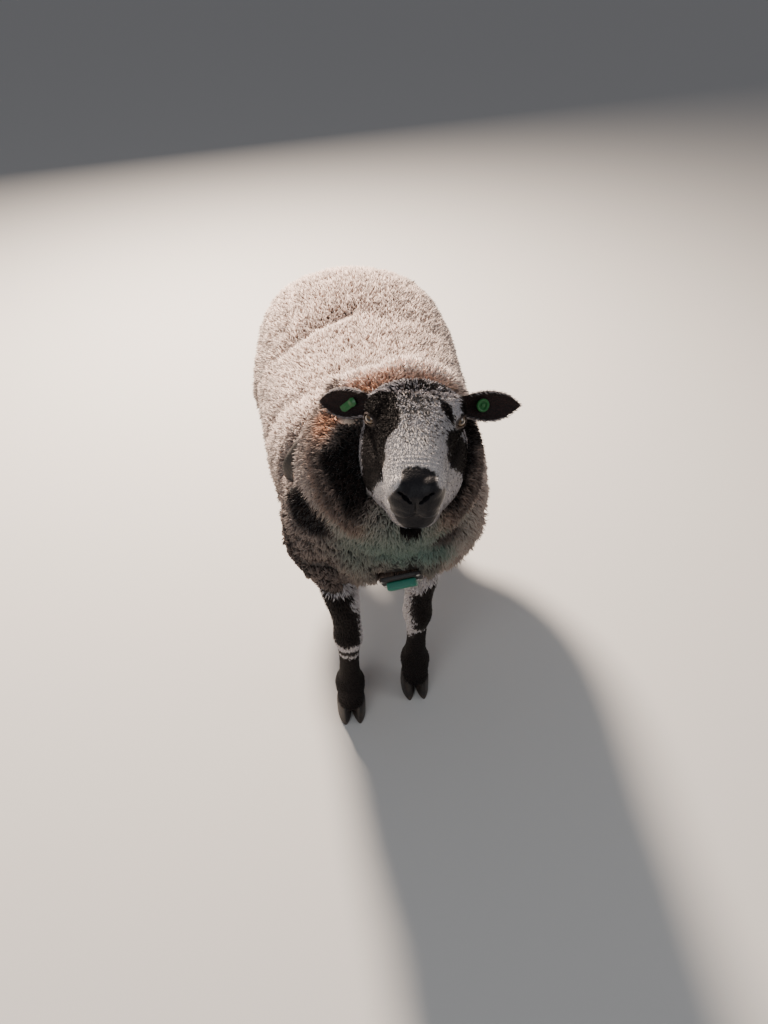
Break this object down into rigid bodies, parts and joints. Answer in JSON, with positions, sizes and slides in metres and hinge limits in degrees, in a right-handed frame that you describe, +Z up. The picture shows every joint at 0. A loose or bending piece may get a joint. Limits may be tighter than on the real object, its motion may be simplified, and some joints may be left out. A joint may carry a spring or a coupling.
{
  "type": "ram",
  "caption": "Life-size standing ram, a polled spotted sheep in full fleece with its head raised, wearing a marking harness and plain ear tags.",
  "frame": {"origin": "on the floor under the middle of the ram's box, seen from above", "axes": "+Z up, -Y the way the ram faces, +X its left side"},
  "size_m": [0.4908, 1.1622, 0.8759],
  "materials": {
    "fleece": "woolly, matte",
    "face_hair": "short dense hair, matte",
    "dark_hair": "short dark hair, matte",
    "skin": "matte skin",
    "eye": "wet, glossy",
    "horn": "worn horn, dull",
    "tag": "moulded, satin",
    "webbing": "woven, matte",
    "plate": "matte",
    "crayon": "waxy, matte"
  },
  "bodies": {
    "root": {"breast_plate": "plate", "claw_fore_left_inner": "horn", "claw_fore_left_outer": "horn", "claw_fore_right_inner": "horn", "claw_fore_right_outer": "horn", "claw_hind_left_inner": "horn", "claw_hind_left_outer": "horn", "claw_hind_right_inner": "horn", "claw_hind_right_outer": "horn", "crayon": "crayon", "ear_left": "dark_hair", "ear_right": "dark_hair", "ear_tag_left": "tag", "ear_tag_right": "tag", "eye_left": "eye", "eye_right": "eye", "foreleg_left": "dark_hair", "foreleg_right": "dark_hair", "girth_strap_left": "webbing", "girth_strap_right": "webbing", "head": "face_hair", "hindleg_left": "dark_hair", "hindleg_right": "dark_hair", "neck": "fleece", "scrotum": "skin", "shoulder_strap_left": "webbing", "shoulder_strap_right": "webbing", "tail": "fleece", "torso": "fleece", "spine_plate": "plate"}
  },
  "joints": []
}
